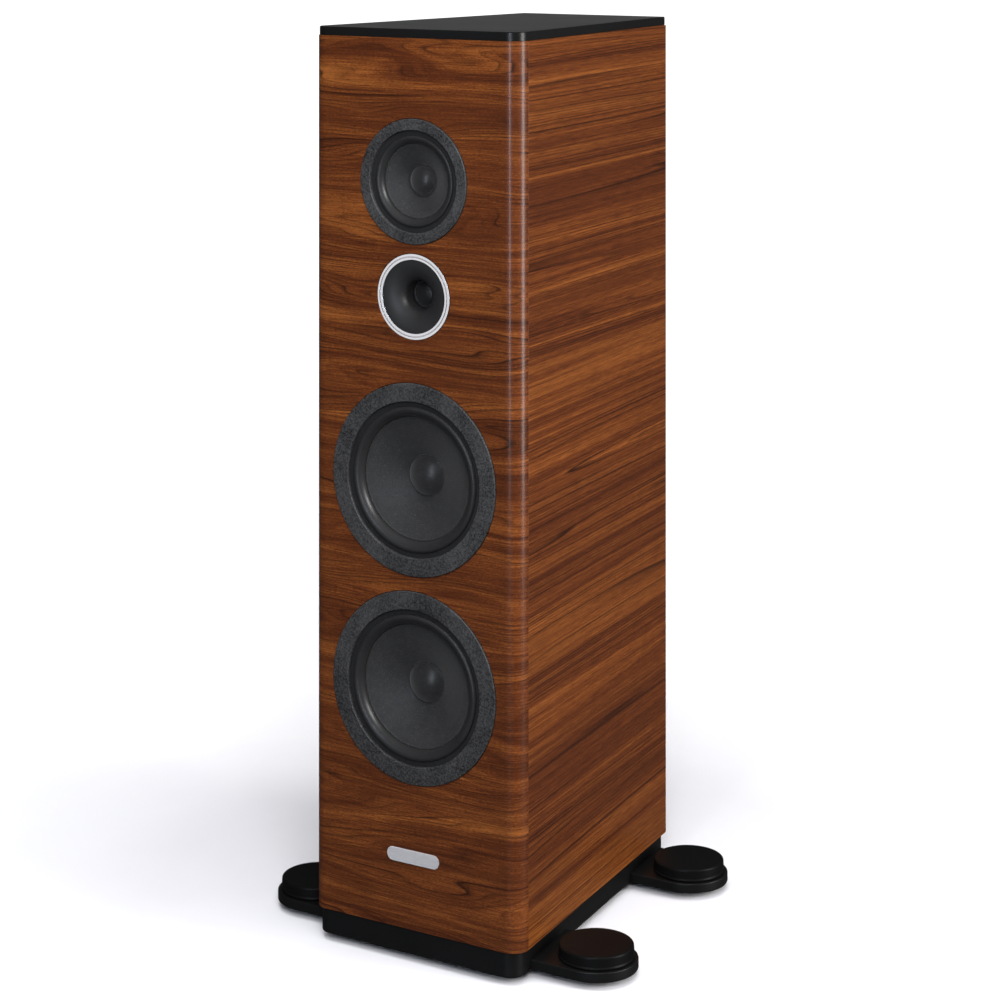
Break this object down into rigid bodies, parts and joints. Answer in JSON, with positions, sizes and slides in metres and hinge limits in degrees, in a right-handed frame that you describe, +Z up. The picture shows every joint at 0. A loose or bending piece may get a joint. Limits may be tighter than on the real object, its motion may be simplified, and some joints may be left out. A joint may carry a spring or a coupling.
{
  "type": "floorstanding speaker",
  "caption": "Three-way floorstanding speaker: tapered wood-veneered cabinet, cone woofers, cone midrange, horn-loaded dome tweeter, and a black plinth on outrigger bars with levelling feet.",
  "frame": {"origin": "on the floor, at the middle of the overall box in plan", "axes": "+Z up; -Y is the way the speaker faces; +X is to the right as seen from the front"},
  "size_m": [0.506, 0.4706, 1.123],
  "materials": {
    "walnut_veneer": "satin lacquer over horizontal grain",
    "fibreboard": "raw, matt",
    "black_lacquer": "satin black lacquer",
    "black_powder_coat": "fine satin powder coat",
    "black_anodised": "satin black anodised",
    "foot_rubber": "matt",
    "zinc_steel": "zinc plated",
    "textured_black": "fine pebbled texture, matt",
    "cast_black": "cast and painted black",
    "polished_aluminium": "turned and polished",
    "brushed_aluminium": "brushed",
    "satin_black_plastic": "satin",
    "ferrite": "matt, sintered",
    "plated_steel": "plated",
    "gold_brass": "gold plated",
    "red_plastic": "gloss",
    "black_plastic": "gloss",
    "crossover_parts": "mixed windings, film and ceramic",
    "cable_rubber": "matt",
    "felt": "soft felt",
    "paper_pulp": "coated paper pulp, matt, with light fibres",
    "dust_cap_fabric": "doped fabric, satin",
    "copper_coil": "enamelled winding on a paper former",
    "surround_rubber": "satin",
    "spider_cloth": "resin-doped cloth",
    "dome_silk": "doped silk"
  },
  "bodies": {
    "cabinet": {"front_baffle": "walnut_veneer", "left_side_panel": "walnut_veneer", "right_side_panel": "walnut_veneer", "back_panel": "walnut_veneer", "end_boards": "fibreboard", "top_cover": "black_lacquer", "shelf_braces": "fibreboard", "midrange_chamber": "fibreboard", "damping_pads": "felt", "badge": "brushed_aluminium", "port_tubes": "satin_black_plastic", "plinth": "black_lacquer", "front_outrigger": "black_powder_coat", "rear_outrigger": "black_powder_coat", "outrigger_bolts": "zinc_steel", "woofer_trim_rings": "textured_black", "woofer_baskets": "cast_black", "midrange_trim_ring": "textured_black", "midrange_basket": "cast_black", "tweeter_trim_ring": "polished_aluminium", "tweeter_horn": "satin_black_plastic", "tweeter_rear_cup": "satin_black_plastic", "ferrite_magnets": "ferrite", "front_plates": "plated_steel", "pole_yokes": "plated_steel", "wood_screws": "zinc_steel", "terminal_plate": "black_powder_coat", "binding_posts": "gold_brass", "crossover_board": "fibreboard", "crossover_components": "crossover_parts", "internal_cables": "cable_rubber"},
    "upper_woofer_diaphragm": {"upper_woofer_cone": "paper_pulp", "upper_woofer_dust_cap": "dust_cap_fabric", "upper_woofer_voice_coil": "copper_coil", "upper_woofer_surround": "surround_rubber", "upper_woofer_spider": "spider_cloth"},
    "lower_woofer_diaphragm": {"lower_woofer_cone": "paper_pulp", "lower_woofer_dust_cap": "dust_cap_fabric", "lower_woofer_voice_coil": "copper_coil", "lower_woofer_surround": "surround_rubber", "lower_woofer_spider": "spider_cloth"},
    "midrange_diaphragm": {"midrange_cone": "paper_pulp", "midrange_dust_cap": "dust_cap_fabric", "midrange_voice_coil": "copper_coil", "midrange_surround": "surround_rubber", "midrange_spider": "spider_cloth"},
    "tweeter_diaphragm": {"tweeter_dome": "dome_silk", "tweeter_voice_coil": "copper_coil"},
    "handwheel_front_left": {"handwheel_front_left": "black_anodised"},
    "foot_front_left": {"foot_front_left": "foot_rubber"},
    "handwheel_front_right": {"handwheel_front_right": "black_anodised"},
    "foot_front_right": {"foot_front_right": "foot_rubber"},
    "handwheel_rear_left": {"handwheel_rear_left": "black_anodised"},
    "foot_rear_left": {"foot_rear_left": "foot_rubber"},
    "handwheel_rear_right": {"handwheel_rear_right": "black_anodised"},
    "foot_rear_right": {"foot_rear_right": "foot_rubber"},
    "clamp_washer_positive": {"clamp_washer_positive": "gold_brass"},
    "post_cap_positive": {"post_cap_positive": "red_plastic"},
    "clamp_washer_negative": {"clamp_washer_negative": "gold_brass"},
    "post_cap_negative": {"post_cap_negative": "black_plastic"}
  },
  "joints": [
    {"name": "upper_woofer_travel", "type": "slide", "parent": "cabinet", "child": "upper_woofer_diaphragm", "axis": [0, -1, 0], "range_m": [-0.006, 0.006], "stiffness_N_per_m": 1600, "deforming": ["upper_woofer_surround", "upper_woofer_spider"]},
    {"name": "lower_woofer_travel", "type": "slide", "parent": "cabinet", "child": "lower_woofer_diaphragm", "axis": [0, -1, 0], "range_m": [-0.006, 0.006], "stiffness_N_per_m": 1600, "deforming": ["lower_woofer_surround", "lower_woofer_spider"]},
    {"name": "midrange_travel", "type": "slide", "parent": "cabinet", "child": "midrange_diaphragm", "axis": [0, -1, 0], "range_m": [-0.003, 0.003], "stiffness_N_per_m": 1200, "deforming": ["midrange_surround", "midrange_spider"]},
    {"name": "tweeter_travel", "type": "slide", "parent": "cabinet", "child": "tweeter_diaphragm", "axis": [0, -1, 0], "range_m": [-0.0003, 0.0003], "stiffness_N_per_m": 1500},
    {"name": "handwheel_front_left_turn", "type": "hinge", "parent": "cabinet", "child": "handwheel_front_left", "pos_m": [-0.203, -0.1453, 0.022], "axis": [0, 0, 1], "range_deg": [-361, 1801]},
    {"name": "foot_front_left_height", "type": "slide", "parent": "cabinet", "child": "foot_front_left", "axis": [0, 0, 1], "range_m": [-0.0075, 0.0015]},
    {"name": "handwheel_front_right_turn", "type": "hinge", "parent": "cabinet", "child": "handwheel_front_right", "pos_m": [0.203, -0.1453, 0.022], "axis": [0, 0, 1], "range_deg": [-361, 1801]},
    {"name": "foot_front_right_height", "type": "slide", "parent": "cabinet", "child": "foot_front_right", "axis": [0, 0, 1], "range_m": [-0.0075, 0.0015]},
    {"name": "handwheel_rear_left_turn", "type": "hinge", "parent": "cabinet", "child": "handwheel_rear_left", "pos_m": [-0.174, 0.1527, 0.022], "axis": [0, 0, 1], "range_deg": [-361, 1801]},
    {"name": "foot_rear_left_height", "type": "slide", "parent": "cabinet", "child": "foot_rear_left", "axis": [0, 0, 1], "range_m": [-0.0075, 0.0015]},
    {"name": "handwheel_rear_right_turn", "type": "hinge", "parent": "cabinet", "child": "handwheel_rear_right", "pos_m": [0.174, 0.1527, 0.022], "axis": [0, 0, 1], "range_deg": [-361, 1801]},
    {"name": "foot_rear_right_height", "type": "slide", "parent": "cabinet", "child": "foot_rear_right", "axis": [0, 0, 1], "range_m": [-0.0075, 0.0015]},
    {"name": "post_positive_clamp", "type": "slide", "parent": "cabinet", "child": "clamp_washer_positive", "axis": [0, 1, 0], "range_m": [0, 0.006]},
    {"name": "post_positive_cap_turn", "type": "hinge", "parent": "clamp_washer_positive", "child": "post_cap_positive", "pos_m": [0.03, 0.2117, 0.15], "axis": [0, 1, 0], "range_deg": [-1, 2161]},
    {"name": "post_negative_clamp", "type": "slide", "parent": "cabinet", "child": "clamp_washer_negative", "axis": [0, 1, 0], "range_m": [0, 0.006]},
    {"name": "post_negative_cap_turn", "type": "hinge", "parent": "clamp_washer_negative", "child": "post_cap_negative", "pos_m": [-0.03, 0.2117, 0.15], "axis": [0, 1, 0], "range_deg": [-1, 2161]}
  ],
  "couplings": [
    {"joint": "handwheel_front_left_turn", "follows": "foot_front_left_height", "rad_per_m": -4188.8},
    {"joint": "handwheel_front_right_turn", "follows": "foot_front_right_height", "rad_per_m": -4188.8},
    {"joint": "handwheel_rear_left_turn", "follows": "foot_rear_left_height", "rad_per_m": -4188.8},
    {"joint": "handwheel_rear_right_turn", "follows": "foot_rear_right_height", "rad_per_m": -4188.8},
    {"joint": "post_positive_cap_turn", "follows": "post_positive_clamp", "rad_per_m": 6283.2},
    {"joint": "post_negative_cap_turn", "follows": "post_negative_clamp", "rad_per_m": 6283.2}
  ]
}
